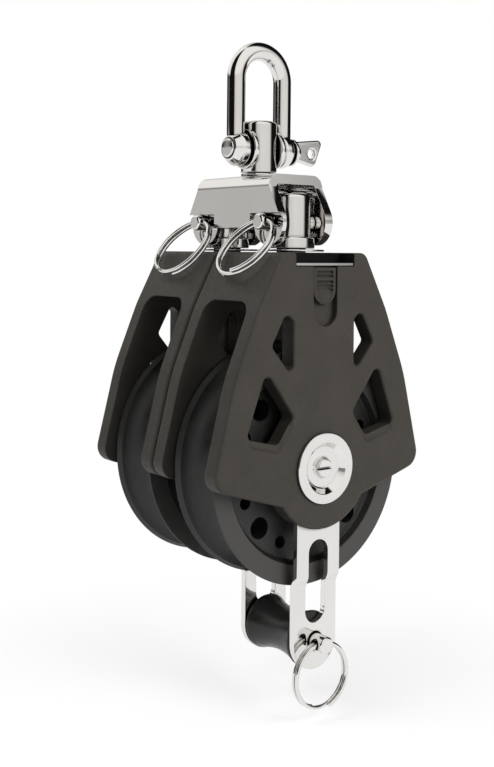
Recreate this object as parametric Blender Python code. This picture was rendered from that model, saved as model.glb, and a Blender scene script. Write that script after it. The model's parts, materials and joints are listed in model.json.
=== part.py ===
"""Double sheave block with a becket, hung from a swivel shackle.

Two single blocks hang side by side on clevis pins from a bent steel head
bracket. The bracket turns on a swivel post, which hangs in a D shackle. The
right-hand block also carries a becket: two straps, a spool and a pin.

All sizes are in millimetres. X runs along the sheave axles, Y from the front
(split ring side) to the back and Z up. Heights are counted from the sheave
axles, and add_piece() moves every mesh so that the origin of the part is the
bearing point inside the crown of the shackle.
"""
import math

import bmesh
import bpy
from mathutils import Matrix, Vector
from mathutils.geometry import tessellate_polygon

MM = 0.001
GAP = 0.3                     # between pieces that rest on each other

# Overall layout
BLOCK_X = 16.5                # mid-plane of each block from the centre
CROWN_H = 124.8               # bearing point inside the shackle's crown
SHACKLE_PIN_H = 96.2
CLEVIS_H = 72.9

# Block shell
SHELL_HALF = 16.2             # half the width of one block
SHELL_TOP_H = 63.7
SHELL_CHAMFER = 0.8
LOBE_R = 18.3                 # round end of each cheek under the axle
SLOT_HALF = 10.75             # rope and sheave slot between the cheeks
SLOT_TOP_H = 49.3
SLOT_R = 4.5
AXLE_BORE_R = 8.5
POCKET_HALF = 8.7             # pocket for the becket straps inside each cheek
POCKET_DEPTH = 14.5
NOTCH_HALF_Y = 11.5
NOTCH_FLOOR_H = 59.6
NOTCH_FROM = 9.7              # from the mid-plane out to the cheek's face
NUT_POCKET_R = 8.0
NUT_POCKET_TOP_H = 54.0

# Lock slider in the outer cheek
SLIDER_HALF = 4.35
SLIDER_LOW_H = 48.3
SLIDER_TOP_H = 59.3
SLIDER_X = (14.3, 15.9)
SLIDER_TRAVEL = 6.2
RIDGE_HEIGHTS = (53.3, 57.0)
RIDGE_WIDTH = 1.5
RIDGE_DEPTH = 0.6

# Sheave and its bearing
SHEAVE_R = 36.0
SHEAVE_HALF = 9.6
GROOVE_R = 7.6                # round groove for a 14 mm rope
RIM_BAND_R = 30.0
WEB_HALF = 7.3
HUB_R = 13.5
SHEAVE_BORE_R = 10.1
HOLE_RING_R = 24.4
HOLE_PAIRS = 8
BIG_HOLE_R = 3.25
SMALL_HOLE_R = 1.9
RACE_R = (5.3, 6.8)
RACE_HALF = 11.9
ROLLER_R = 1.45
ROLLER_HALF = 4.5
ROLLER_COUNT = 8
BALL_R = 1.4
BALL_COUNT = 8
BALL_X = 7.0
BEARING_R = 8.45              # circle on which the rollers and balls run
CAGE_R = (8.0, 8.9)

# Axle
TUBE_R = (2.9, 5.0)
TUBE_HALF = 14.2
CAP_R = 10.6
CAP_FACE = 17.4
CAP_PLUG_R = 8.2
CAP_SHANK_R = 2.6
DISH_R = 7.7
DISH_FLOOR = 15.4
SCREW_SLOT = (0.9, 1.1)       # width and depth of the screwdriver slot

# Becket
STRAP_HALF = 8.3
STRAP_THICK = 2.0
STRAP_X = 13.2                # middle of the strap, from the mid-plane
STRAP_JOGGLE = 1.4
JOGGLE_H = (-32.0, -36.0)
STRAP_SLOT = (3.75, -21.7, -46.6)
BECKET_PIN_H = -52.2
BECKET_PIN_R = 2.5
BECKET_PIN_END = 18.5
BECKET_RING_X = 15.5
SPOOL_R = (8.3, 6.5)          # at the ends and at the waist
SPOOL_HALF = 10.5

# Head bracket
PLATE = 3.0
BRACKET_TOP_H = 87.5
BRACKET_HALF_Y = 10.7
BRACKET_TOP_X = 18.6
BRACKET_END_H = 83.7          # down to here the bracket's ends are upright
EAR_R = 7.1
BRACKET_LOW_H = 71.3
BEND_R = 3.9
EAR_STEP = 1.6
EAR_STEP_TOP_H = 75.6
EAR_STEP_HALF = 7.2

# Clevis pins, head posts and split rings
CLEVIS_R = 2.5
CLEVIS_HEAD_R = 4.6
CLEVIS_END_Y = 13.4
RING_HOLE_Y = -11.0
RING_HOLE_R = 1.7
POST_R = 5.9
POST_TOP_H = 81.6
COLLAR_R = 7.2
COLLAR_H = (64.9, 68.3)
POST_SHANK_R = 4.5
POST_FOOT_H = 49.9
HEAD_RING_R = 10.4
BECKET_RING_R = 9.5
RING_WIRE_R = 0.6
RING_PITCH = 1.3
RING_LEAN = 40.5

# Swivel and shackle
SWIVEL_R = 5.7
SWIVEL_TOP_H = 105.2
SWIVEL_FOOT_H = 88.9
SWIVEL_SHANK_R = 3.6
SWIVEL_SHANK_LOW_H = 79.4
BOSS_R = 6.35
BOSS_Y = (4.6, 6.2)
BAR_R = 2.9
LEG_Y = 9.3
EYE_R = 5.5
EYE_Y = (6.6, 12.2)
SHACKLE_PIN_R = 3.0
TAB_Y = (14.0, 26.4)
TAB_HOLE_Y = 21.4
TAB_THICK = 2.2

ROUND = 18                    # sides of small round pieces
HIDDEN_ROUND = 12             # and of those inside the blocks
SHEAVE_SIDES = 36
RING_STEPS = 20               # per turn of a split ring

CHARCOAL = (0.070, 0.064, 0.056, 1.0)
SHEAVE_BLACK = (0.028, 0.027, 0.025, 1.0)
STEEL = (0.78, 0.76, 0.74, 1.0)
SPOOL_BLACK = (0.015, 0.015, 0.015, 1.0)

MATERIALS = {
    "charcoal_nylon": (CHARCOAL, 0.55, 0.0),
    "black_acetal": (SHEAVE_BLACK, 0.5, 0.0),
    "polished_steel": (STEEL, 0.12, 1.0),
    "gloss_black": (SPOOL_BLACK, 0.25, 0.0),
}

# Each body and the point of its joint's axis, in mm from the axles
BODIES = {
    "shackle": (0, 0, CROWN_H),
    "shackle_pin": (0, 0, SHACKLE_PIN_H),
    "swivel": (0, 0, SHACKLE_PIN_H),
    "bracket": (0, 0, BRACKET_TOP_H),
    "becket_spool": (BLOCK_X, 0, BECKET_PIN_H),
    "becket_ring": (BLOCK_X + BECKET_RING_X, 0, BECKET_PIN_H),
}
for prefix, direction in (("left", -1), ("right", 1)):
    BODIES[prefix + "_block"] = (direction * BLOCK_X, 0, CLEVIS_H)
    BODIES[prefix + "_slider"] = (direction * (BLOCK_X + SLIDER_X[0]), 0, SLIDER_LOW_H)
    BODIES[prefix + "_sheave"] = (direction * BLOCK_X, 0, 0)
    BODIES[prefix + "_bearing"] = (direction * BLOCK_X, 0, 0)
    BODIES[prefix + "_ring"] = (direction * BLOCK_X, RING_HOLE_Y, CLEVIS_H)

SIDES = {"left": -1, "right": 1}


# ---------------------------------------------------------------- outlines

def arc(centre, radius, start, end, steps):
    """Points from angle start to angle end, in degrees, both included."""
    points = []
    for step in range(steps + 1):
        angle = math.radians(start + (end - start) * step / steps)
        points.append(Vector((centre[0] + radius * math.cos(angle),
                              centre[1] + radius * math.sin(angle))))
    return points


def circle(centre, radius, steps=ROUND):
    return arc(centre, radius, 0, 360, steps)[:-1]


def rounded(corners, steps=3):
    """Closed outline through corners (a, b, radius), each turned into an arc."""
    points = []
    for index, (a, b, radius) in enumerate(corners):
        corner = Vector((a, b))
        if radius == 0:
            points.append(corner)
            continue
        back = (Vector(corners[index - 1][:2]) - corner).normalized()
        ahead = (Vector(corners[(index + 1) % len(corners)][:2]) - corner).normalized()
        half = back.angle(ahead) / 2
        centre = corner + (back + ahead).normalized() * radius / math.sin(half)
        first = corner + back * radius / math.tan(half) - centre
        last = corner + ahead * radius / math.tan(half) - centre
        turn = math.atan2(first.cross(last), first.dot(last))
        for step in range(steps + 1):
            points.append(centre + Matrix.Rotation(turn * step / steps, 2) @ first)
    return points


def moved_in(points, distance):
    """The outline with every side moved inwards by distance."""
    count = len(points)
    area = sum(points[i - 1].cross(points[i]) for i in range(count))
    side = math.copysign(1.0, area)
    result = []
    for index, point in enumerate(points):
        before = (point - points[index - 1]).normalized()
        after = (points[(index + 1) % count] - point).normalized()
        normal_a = Vector((-before.y, before.x)) * side
        normal_b = Vector((-after.y, after.x)) * side
        result.append(point + (normal_a + normal_b) * distance / (1 + normal_a.dot(normal_b)))
    return result


def mirrored(half):
    """Closed outline from its half at a > 0, running from top to bottom."""
    return half + [Vector((-point.x, point.y)) for point in reversed(half)]


# ------------------------------------------------------------------ solids

def placed(axis, a, b, depth):
    """Point of an outline (a, b) at a depth along the axis of the solid."""
    if axis == "X":
        return Vector((depth, a, b))
    if axis == "Y":
        return Vector((a, depth, b))
    return Vector((a, b, depth))


def plate(axis, outline, holes, levels):
    """Flat solid along an axis. Each level is (depth, edge inset, hole growth)."""
    mesh = bmesh.new()
    rings = []
    for depth, inset, growth in levels:
        loops = [moved_in(outline, inset)] + [moved_in(hole, -growth) for hole in holes]
        rings.append([[mesh.verts.new(placed(axis, p.x, p.y, depth)) for p in loop]
                      for loop in loops])
    for low_ring, high_ring in zip(rings, rings[1:]):
        for low, high in zip(low_ring, high_ring):
            for i in range(len(low)):
                mesh.faces.new((low[i - 1], low[i], high[i], high[i - 1]))
    for ring in (rings[0], rings[-1]):
        corners = [vert for loop in ring for vert in loop]
        for triangle in tessellate_polygon([[vert.co for vert in loop] for loop in ring]):
            mesh.faces.new([corners[i] for i in triangle])
    bmesh.ops.recalc_face_normals(mesh, faces=mesh.faces)
    return mesh


def slab(axis, outline, low, high, holes=()):
    return plate(axis, outline, list(holes), [(low, 0, 0), (high, 0, 0)])


def box(low, high):
    outline = [Vector((low[0], low[1])), Vector((high[0], low[1])),
               Vector((high[0], high[1])), Vector((low[0], high[1]))]
    return slab("Z", outline, low[2], high[2])


def turned(axis, centre, profile, steps=ROUND, ring=False):
    """Solid turned about an axis through centre, from (radius, depth) points."""
    mesh = bmesh.new()
    rings = []
    for radius, depth in profile:
        angles = [0] if radius == 0 else [math.tau * i / steps for i in range(steps)]
        rings.append([mesh.verts.new(placed(axis, radius * math.cos(t), radius * math.sin(t), depth))
                      for t in angles])
    pairs = list(zip(rings, rings[1:]))
    if ring:
        pairs.append((rings[-1], rings[0]))
    for low, high in pairs:
        for i in range(steps):
            corners = [low[(i - 1) % len(low)], low[i % len(low)],
                       high[i % len(high)], high[(i - 1) % len(high)]]
            mesh.faces.new(list(dict.fromkeys(corners)))
    bmesh.ops.translate(mesh, verts=mesh.verts, vec=Vector(centre))
    bmesh.ops.recalc_face_normals(mesh, faces=mesh.faces)
    return mesh


def swept(path, radius, steps):
    """Round bar of constant radius along a list of points."""
    mesh = bmesh.new()
    tangents = []
    for index in range(len(path)):
        first = path[max(index - 1, 0)]
        last = path[min(index + 1, len(path) - 1)]
        tangents.append((last - first).normalized())
    side = tangents[0].orthogonal().normalized()
    rings = []
    for index, point in enumerate(path):
        if index:
            side = tangents[index - 1].rotation_difference(tangents[index]) @ side
        other = tangents[index].cross(side)
        rings.append([mesh.verts.new(point + radius * (side * math.cos(math.tau * i / steps)
                                                       + other * math.sin(math.tau * i / steps)))
                      for i in range(steps)])
    for low, high in zip(rings, rings[1:]):
        for i in range(steps):
            mesh.faces.new((low[i - 1], low[i], high[i], high[i - 1]))
    mesh.faces.new(rings[0])
    mesh.faces.new(rings[-1])
    bmesh.ops.recalc_face_normals(mesh, faces=mesh.faces)
    return mesh


def joined(meshes):
    """One mesh from several that don't touch."""
    whole = bmesh.new()
    for mesh in meshes:
        data = bpy.data.meshes.new("joined")
        mesh.to_mesh(data)
        mesh.free()
        whole.from_mesh(data)
        bpy.data.meshes.remove(data)
    return whole


def combined(mesh, tools, operation):
    """The mesh after an exact Boolean with each tool mesh in turn."""
    target = temporary_object(mesh)
    for tool_mesh in tools:
        tool = temporary_object(tool_mesh)
        modifier = target.modifiers.new("boolean", "BOOLEAN")
        modifier.operation = operation
        modifier.solver = "EXACT"
        modifier.object = tool
        graph = bpy.context.evaluated_depsgraph_get()
        data = bpy.data.meshes.new_from_object(target.evaluated_get(graph))
        target.modifiers.clear()
        target.data = data
        bpy.data.objects.remove(tool)
    result = bmesh.new()
    result.from_mesh(target.data)
    bpy.data.objects.remove(target)
    return result


def temporary_object(mesh):
    data = bpy.data.meshes.new("temporary")
    mesh.to_mesh(data)
    mesh.free()
    obj = bpy.data.objects.new("temporary", data)
    bpy.context.scene.collection.objects.link(obj)
    return obj


def cut(mesh, *tools):
    return combined(mesh, tools, "DIFFERENCE")


def united(mesh, *others):
    return combined(mesh, others, "UNION")


# ------------------------------------------------------- objects and bodies

def make_materials():
    for name, (color, roughness, metallic) in MATERIALS.items():
        material = bpy.data.materials.new(name)
        material.use_nodes = True
        shader = material.node_tree.nodes["Principled BSDF"]
        shader.inputs["Base Color"].default_value = color
        shader.inputs["Roughness"].default_value = roughness
        shader.inputs["Metallic"].default_value = metallic


def make_bodies():
    for name, point in BODIES.items():
        empty = bpy.data.objects.new("axis_" + name, None)
        empty.location = (Vector(point) - Vector((0, 0, CROWN_H))) * MM
        bpy.context.scene.collection.objects.link(empty)


def add_piece(name, body, material, mesh):
    """Object whose mesh is counted from its body's joint axis, in metres."""
    bmesh.ops.translate(mesh, verts=mesh.verts, vec=-Vector(BODIES[body]))
    bmesh.ops.scale(mesh, verts=mesh.verts, vec=(MM, MM, MM))
    data = bpy.data.meshes.new(name)
    mesh.to_mesh(data)
    mesh.free()
    data.shade_smooth()
    data.set_sharp_from_angle(angle=math.radians(35))
    data.materials.append(bpy.data.materials[material])
    obj = bpy.data.objects.new(name, data)
    obj.parent = bpy.data.objects["axis_" + body]
    bpy.context.scene.collection.objects.link(obj)


# ------------------------------------------------------------ block shells

def shell_outline():
    """Side view of a block: straight top, flared sides, round lobe below."""
    side = rounded([(0, SHELL_TOP_H, 0), (16.4, SHELL_TOP_H, 3.0), (25.4, 46.4, 45.0),
                    (33.4, 26.6, 60.0), (40.5, -2.4, 5.0), (15.4, -9.9, 0)])[1:-1]
    return mirrored(side + arc((0, 0), LOBE_R, -33, -80, 5))


def window_outlines():
    upper = [(12.0, 43.6, 1.2), (14.7, 46.2, 1.6), (19.9, 36.6, 1.5), (13.4, 29.0, 1.2),
             (12.0, 30.4, 1.2)]
    lower = [(21.9, 29.6, 1.6), (28.8, 10.8, 1.8), (17.2, 8.0, 1.8), (11.6, 15.8, 1.6)]
    windows = []
    for corners in (upper, lower):
        for side in (-1, 1):
            windows.append([Vector((side * p.x, p.y)) for p in rounded(corners, 2)])
    return windows


def strap_outline(half, low, high):
    """Bar with round ends between two heights of its end centres."""
    return arc((0, high), half, 180, 0, 8) + arc((0, low), half, 0, -180, 8)


def block_shell(side):
    middle = side * BLOCK_X

    def across(distance):
        return middle + side * distance

    face = SHELL_HALF
    levels = [(across(-face), SHELL_CHAMFER, 0), (across(-face + SHELL_CHAMFER), 0, 0),
              (across(face - SHELL_CHAMFER), 0, 0), (across(face), SHELL_CHAMFER, 0)]
    shell = plate("X", shell_outline(), window_outlines(), levels)
    beyond = 60.0
    slot = slab("Y", rounded([(middle - SLOT_HALF, -beyond, 0), (middle + SLOT_HALF, -beyond, 0),
                              (middle + SLOT_HALF, SLOT_TOP_H, SLOT_R),
                              (middle - SLOT_HALF, SLOT_TOP_H, SLOT_R)]), -beyond, beyond)
    pocket = slab("X", strap_outline(POCKET_HALF, -beyond, 0),
                  middle - POCKET_DEPTH, middle + POCKET_DEPTH)
    bore = slab("X", circle((0, 0), AXLE_BORE_R), middle - beyond, middle + beyond)
    notch_x = sorted((across(NOTCH_FROM), across(face + 1)))
    notch = box((notch_x[0], -NOTCH_HALF_Y, NOTCH_FLOOR_H), (notch_x[1], NOTCH_HALF_Y, SHELL_TOP_H + 1))
    recess_low = SLIDER_LOW_H - SLIDER_TRAVEL - GAP + SLIDER_HALF + GAP
    recess_x = sorted((across(SLIDER_X[0] - GAP), across(face + 1)))
    recess = slab("X", strap_outline(SLIDER_HALF + GAP, recess_low, NOTCH_FLOOR_H - SLIDER_HALF), *recess_x)
    recess_top = box((recess_x[0], -SLIDER_HALF - GAP, NOTCH_FLOOR_H - SLIDER_HALF),
                     (recess_x[1], SLIDER_HALF + GAP, NOTCH_FLOOR_H + 1))
    post_bore = slab("Z", circle((middle, 0), POST_SHANK_R + GAP), SLOT_TOP_H - 1, SHELL_TOP_H + 1)
    nut_pocket = slab("Z", circle((middle, 0), NUT_POCKET_R), SLOT_TOP_H - 1, NUT_POCKET_TOP_H)
    return cut(shell, slot, pocket, bore, notch, recess, recess_top, post_bore, nut_pocket)


def lock_slider(side):
    middle = side * BLOCK_X
    near, far = (middle + side * x for x in SLIDER_X)
    lower = arc((0, SLIDER_LOW_H + SLIDER_HALF), SLIDER_HALF, 0, -180, 8)
    outline = lower + [Vector((-SLIDER_HALF, SLIDER_TOP_H)), Vector((SLIDER_HALF, SLIDER_TOP_H))]
    slider = slab("X", outline, near, far)
    grooves = []
    for height in RIDGE_HEIGHTS:
        groove_x = sorted((far - side * RIDGE_DEPTH, far + side))
        grooves.append(box((groove_x[0], 0.75 - SLIDER_HALF, height - RIDGE_WIDTH / 2),
                           (groove_x[1], SLIDER_HALF - 0.75, height + RIDGE_WIDTH / 2)))
    return cut(slider, *grooves)


def lock_plate(side):
    """Thin steel keeper on the floor of the notch."""
    middle = side * BLOCK_X
    ends = sorted((middle + side * (NOTCH_FROM + GAP), middle + side * (SHELL_HALF - GAP)))
    return box((ends[0], GAP - NOTCH_HALF_Y, NOTCH_FLOOR_H + GAP),
               (ends[1], NOTCH_HALF_Y - GAP, NOTCH_FLOOR_H + GAP + 0.7))


# ------------------------------------------------------ sheaves and axles

def sheave(side):
    rim = SHEAVE_R
    groove = []
    for point in arc((rim + 0.4, 0), GROOVE_R + 0.3, 180 + 82, 180 - 82, 5):
        groove.append((point.x, point.y))
    half = [(SHEAVE_BORE_R, SHEAVE_HALF - 0.6), (HUB_R, SHEAVE_HALF - 0.6), (HUB_R + 1.2, WEB_HALF),
            (RIM_BAND_R - 1.0, WEB_HALF), (RIM_BAND_R, SHEAVE_HALF), (rim - 0.3, SHEAVE_HALF),
            (rim, SHEAVE_HALF - 0.3)]
    profile = [(r, -x) for r, x in half] + groove + [(r, x) for r, x in reversed(half)]
    wheel = turned("X", (side * BLOCK_X, 0, 0), profile, SHEAVE_SIDES, ring=True)
    holes = []
    for index in range(2 * HOLE_PAIRS):
        angle = math.radians(180 / HOLE_PAIRS * index + 45)
        radius = BIG_HOLE_R if index % 2 == 0 else SMALL_HOLE_R
        centre = (HOLE_RING_R * math.cos(angle), HOLE_RING_R * math.sin(angle))
        ends = sorted((side * (BLOCK_X - SHEAVE_HALF - 1), side * (BLOCK_X + SHEAVE_HALF + 1)))
        holes.append(slab("X", circle(centre, radius, 8), *ends))
    return cut(wheel, joined(holes))


def tube(axis, centre, radii, low, high, steps=ROUND):
    inner, outer = radii
    return turned(axis, centre, [(inner, low), (outer, low), (outer, high), (inner, high)],
                  steps, ring=True)


def roller_cage(side):
    """Rollers carried between the two end rings of their cage."""
    middle = side * BLOCK_X
    solids = []
    for index in range(ROLLER_COUNT):
        angle = math.tau * index / ROLLER_COUNT
        centre = (BEARING_R * math.cos(angle), BEARING_R * math.sin(angle))
        solids.append(slab("X", circle(centre, ROLLER_R, 6), middle - ROLLER_HALF, middle + ROLLER_HALF))
    rings = [tube("X", (middle + way * ROLLER_HALF, 0, 0), CAGE_R, -0.4, 0.4, ROLLER_COUNT)
             for way in (-1, 1)]
    return united(joined(solids), *rings)


def ball_cage(side, offset):
    """One row of balls carried by the ring of its cage."""
    spot_x = side * BLOCK_X + offset
    row = bmesh.new()
    for index in range(BALL_COUNT):
        angle = math.tau * index / BALL_COUNT
        spot = Vector((spot_x, BEARING_R * math.cos(angle), BEARING_R * math.sin(angle)))
        bmesh.ops.create_icosphere(row, subdivisions=1, radius=BALL_R, matrix=Matrix.Translation(spot))
    return united(row, tube("X", (spot_x, 0, 0), CAGE_R, -0.4, 0.4, BALL_COUNT))


def outer_cap(side):
    """Flanged cap that stands proud of the cheek, dished around its boss."""
    profile = [(0, 8.0), (CAP_SHANK_R, 8.0), (CAP_SHANK_R, POCKET_DEPTH), (CAP_PLUG_R, POCKET_DEPTH),
               (CAP_PLUG_R, SHELL_HALF + GAP), (CAP_R, SHELL_HALF + GAP), (CAP_R, CAP_FACE - 0.25),
               (CAP_R - 0.25, CAP_FACE), (DISH_R, CAP_FACE), (DISH_R - 1.0, DISH_FLOOR + 0.6),
               (DISH_R - 2.0, DISH_FLOOR), (CAP_SHANK_R, DISH_FLOOR), (CAP_SHANK_R, CAP_FACE - 0.5),
               (CAP_SHANK_R - 0.3, CAP_FACE - 0.3), (0, CAP_FACE - 0.3)]
    return slotted_cap(side, 1, profile, CAP_FACE - 0.3)


def inner_cap(side):
    """Flat cap, level with the cheek that faces the other block."""
    face = SHELL_HALF - GAP
    profile = [(0, 8.0), (CAP_SHANK_R, 8.0), (CAP_SHANK_R, POCKET_DEPTH), (CAP_PLUG_R, POCKET_DEPTH),
               (CAP_PLUG_R, face - 0.25), (CAP_PLUG_R - 0.25, face), (0, face)]
    return slotted_cap(side, -1, profile, face)


def slotted_cap(side, outward, profile, face):
    """Turned cap, from the block's mid-plane, with a screwdriver slot along Y."""
    middle = side * BLOCK_X
    way = side * outward
    cap = turned("X", (middle, 0, 0), [(r, way * x) for r, x in profile])
    width, depth = SCREW_SLOT
    ends = sorted((middle + way * (face - depth), middle + way * (face + 1)))
    return cut(cap, box((ends[0], -4, -width / 2), (ends[1], 4, width / 2)))


# ------------------------------------------------------------------ becket

def becket_strap(way):
    """Slotted strap with a joggle that brings its lower end inwards."""
    middle = BLOCK_X + way * STRAP_X
    slot_half, slot_top, slot_low = STRAP_SLOT
    holes = [circle((0, 0), TUBE_R[1] + GAP), circle((0, BECKET_PIN_H), BECKET_PIN_R + GAP),
             strap_outline(slot_half, slot_low + slot_half, slot_top - slot_half)]
    strap = slab("X", strap_outline(STRAP_HALF, BECKET_PIN_H, 0),
                 middle - STRAP_THICK / 2, middle + STRAP_THICK / 2, holes)
    for height in JOGGLE_H:
        bmesh.ops.bisect_plane(strap, geom=strap.verts[:] + strap.edges[:] + strap.faces[:],
                               plane_co=(0, 0, height), plane_no=(0, 0, 1))
    start, end = JOGGLE_H
    for vert in strap.verts:
        share = min(max((vert.co.z - start) / (end - start), 0), 1)
        vert.co.x -= way * STRAP_JOGGLE * share
    bmesh.ops.triangulate(strap, faces=strap.faces)
    return strap


def becket_spool():
    end_r, waist_r = SPOOL_R
    profile = [(BECKET_PIN_R + GAP, SPOOL_HALF), (end_r - 0.6, SPOOL_HALF)]
    for step in range(7):
        along = 1 - step / 3
        profile.append((waist_r + (end_r - waist_r) * along ** 2, (SPOOL_HALF - 0.7) * along))
    profile += [(end_r - 0.6, -SPOOL_HALF), (BECKET_PIN_R + GAP, -SPOOL_HALF)]
    return turned("X", (BLOCK_X, 0, BECKET_PIN_H), profile, ring=True)


def becket_pin():
    inner_face = STRAP_X - STRAP_JOGGLE + STRAP_THICK / 2 + GAP
    head = [(0, -inner_face - 1.3), (4.1, -inner_face - 1.3), (4.4, -inner_face - 1.0),
            (4.4, -inner_face), (BECKET_PIN_R, -inner_face)]
    end = [(BECKET_PIN_R, BECKET_PIN_END - 0.5), (BECKET_PIN_R - 0.5, BECKET_PIN_END), (0, BECKET_PIN_END)]
    pin = turned("X", (BLOCK_X, 0, BECKET_PIN_H), head + end)
    hole = slab("Y", circle((BLOCK_X + BECKET_RING_X, BECKET_PIN_H), RING_HOLE_R, 16), -5, 5)
    return cut(pin, hole)


# ------------------------------------------------------- bracket and pins

def tangent_point(outside, centre, radius):
    """Where the line from a point touches a circle, on its far side in +X."""
    offset = outside - centre
    reach = offset.length
    angle = math.atan2(offset.y, offset.x) - math.acos(radius / reach)
    return math.degrees(angle)


def bracket_side():
    """Side view of the bracket: a flared plate with two round ears."""
    top = Vector((BRACKET_TOP_X, BRACKET_TOP_H))
    corner = Vector((BRACKET_TOP_X, BRACKET_END_H))
    ear = Vector((BLOCK_X, CLEVIS_H))
    start = tangent_point(corner, ear, EAR_R)
    end = math.degrees(math.asin((BRACKET_LOW_H - CLEVIS_H) / EAR_R))
    return mirrored([top, corner] + arc(ear, EAR_R, start, -180 - end, 12))


def head_bracket():
    outer = BRACKET_HALF_Y
    inner = outer - PLATE
    low = CLEVIS_H - EAR_R - 1
    channel = rounded([(-outer, low, 0), (-outer, BRACKET_TOP_H, BEND_R), (outer, BRACKET_TOP_H, BEND_R),
                       (outer, low, 0), (inner, low, 0), (inner, BRACKET_TOP_H - PLATE, BEND_R - PLATE),
                       (-inner, BRACKET_TOP_H - PLATE, BEND_R - PLATE), (-inner, low, 0)])
    end_x = BLOCK_X + EAR_R + 1
    bracket = combined(slab("X", channel, -end_x, end_x),
                       [slab("Y", bracket_side(), -outer - 1, outer + 1)], "INTERSECT")
    tools = [slab("Z", circle((0, 0), SWIVEL_SHANK_R + GAP), BRACKET_TOP_H - 4, BRACKET_TOP_H + 1)]
    for side in SIDES.values():
        tools.append(slab("Y", circle((side * BLOCK_X, CLEVIS_H), CLEVIS_R + GAP), -outer - 1, outer + 1))
        tools.append(box((side * BLOCK_X - EAR_STEP_HALF, -outer - 1, low - 1),
                         (side * BLOCK_X + EAR_STEP_HALF, EAR_STEP - outer, EAR_STEP_TOP_H)))
    return cut(bracket, *tools)


def clevis_pin(side):
    head_y = BRACKET_HALF_Y + GAP
    profile = [(0, -CLEVIS_END_Y), (CLEVIS_R - 0.5, -CLEVIS_END_Y), (CLEVIS_R, 0.5 - CLEVIS_END_Y),
               (CLEVIS_R, head_y), (CLEVIS_HEAD_R, head_y), (CLEVIS_HEAD_R, head_y + 1.4),
               (CLEVIS_HEAD_R - 0.6, head_y + 2.0), (0, head_y + 2.0)]
    pin = turned("Y", (side * BLOCK_X, 0, CLEVIS_H), profile)
    ends = sorted((side * (BLOCK_X - 5), side * (BLOCK_X + 5)))
    return cut(pin, slab("X", circle((RING_HOLE_Y, CLEVIS_H), RING_HOLE_R, 16), *ends))


def head_post(side):
    low, high = COLLAR_H
    profile = [(0, POST_FOOT_H), (POST_SHANK_R, POST_FOOT_H), (POST_SHANK_R, low), (COLLAR_R, low),
               (COLLAR_R, high - 0.4), (COLLAR_R - 0.4, high), (POST_R, high), (POST_R, POST_TOP_H - 1.2),
               (POST_R - 1.0, POST_TOP_H), (0, POST_TOP_H)]
    post = turned("Z", (side * BLOCK_X, 0, 0), profile)
    return cut(post, slab("Y", circle((side * BLOCK_X, CLEVIS_H), CLEVIS_R + GAP), -8, 8))


def hex_nut(centre_x, corner_r, bore_r, low, high):
    return slab("Z", circle((centre_x, 0), corner_r, 6), low, high, [circle((centre_x, 0), bore_r)])


def split_ring(hole, along, out, radius, hand):
    """Two turns of wire that hang from a hole in the direction out."""
    across = along.cross(out) * hand
    centre = hole + out * (radius - 0.2)
    path = []
    for index in range(2 * RING_STEPS + 1):
        turn = index / RING_STEPS
        angle = math.tau * turn
        path.append(centre + radius * (out * math.cos(angle) + along * math.sin(angle))
                    + across * RING_PITCH * (turn - 1))
    return swept(path[1:-1], RING_WIRE_R, 5)


def head_ring(side):
    lean = math.radians(RING_LEAN)
    hole = Vector((side * BLOCK_X, RING_HOLE_Y, CLEVIS_H))
    out = Vector((0, -math.sin(lean), -math.cos(lean)))
    return split_ring(hole, Vector((1, 0, 0)), out, HEAD_RING_R, side)


def becket_ring():
    hole = Vector((BLOCK_X + BECKET_RING_X, 0, BECKET_PIN_H))
    return split_ring(hole, Vector((0, 1, 0)), Vector((0, 0, -1)), BECKET_RING_R, 1)


# ------------------------------------------------------ swivel and shackle

def swivel_post():
    profile = [(0, SWIVEL_SHANK_LOW_H), (SWIVEL_SHANK_R, SWIVEL_SHANK_LOW_H), (SWIVEL_SHANK_R, SWIVEL_FOOT_H),
               (SWIVEL_R, SWIVEL_FOOT_H), (SWIVEL_R, SWIVEL_TOP_H - 1.0), (SWIVEL_R - 1.0, SWIVEL_TOP_H),
               (0, SWIVEL_TOP_H)]
    post = turned("Z", (0, 0, 0), profile)
    near, far = BOSS_Y
    bosses = [slab("Y", circle((0, SHACKLE_PIN_H), BOSS_R), -far, -near),
              slab("Y", circle((0, SHACKLE_PIN_H), BOSS_R), near, far)]
    hole = slab("Y", circle((0, SHACKLE_PIN_H), SHACKLE_PIN_R + GAP), -far - 1, far + 1)
    return cut(united(post, *bosses), hole)


def shackle_bow():
    bend_h = CROWN_H + BAR_R - LEG_Y
    path = [Vector((0, -LEG_Y, SHACKLE_PIN_H + 1))]
    for point in arc((0, bend_h), LEG_Y, 180, 0, 12):
        path.append(Vector((0, point.x, point.y)))
    path.append(Vector((0, LEG_Y, SHACKLE_PIN_H + 1)))
    bow = swept(path, BAR_R, 12)
    eyes = []
    holes = []
    for way in (-1, 1):
        near, far = sorted(way * y for y in EYE_Y)
        levels = [(near, 0.5, 0), (near + 0.5, 0, 0), (far - 0.5, 0, 0), (far, 0.5, 0)]
        eyes.append(plate("Y", circle((0, SHACKLE_PIN_H), EYE_R), [], levels))
        holes.append(slab("Y", circle((0, SHACKLE_PIN_H), SHACKLE_PIN_R + GAP), near - 1, far + 1))
    return cut(united(bow, *eyes), *holes)


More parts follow.
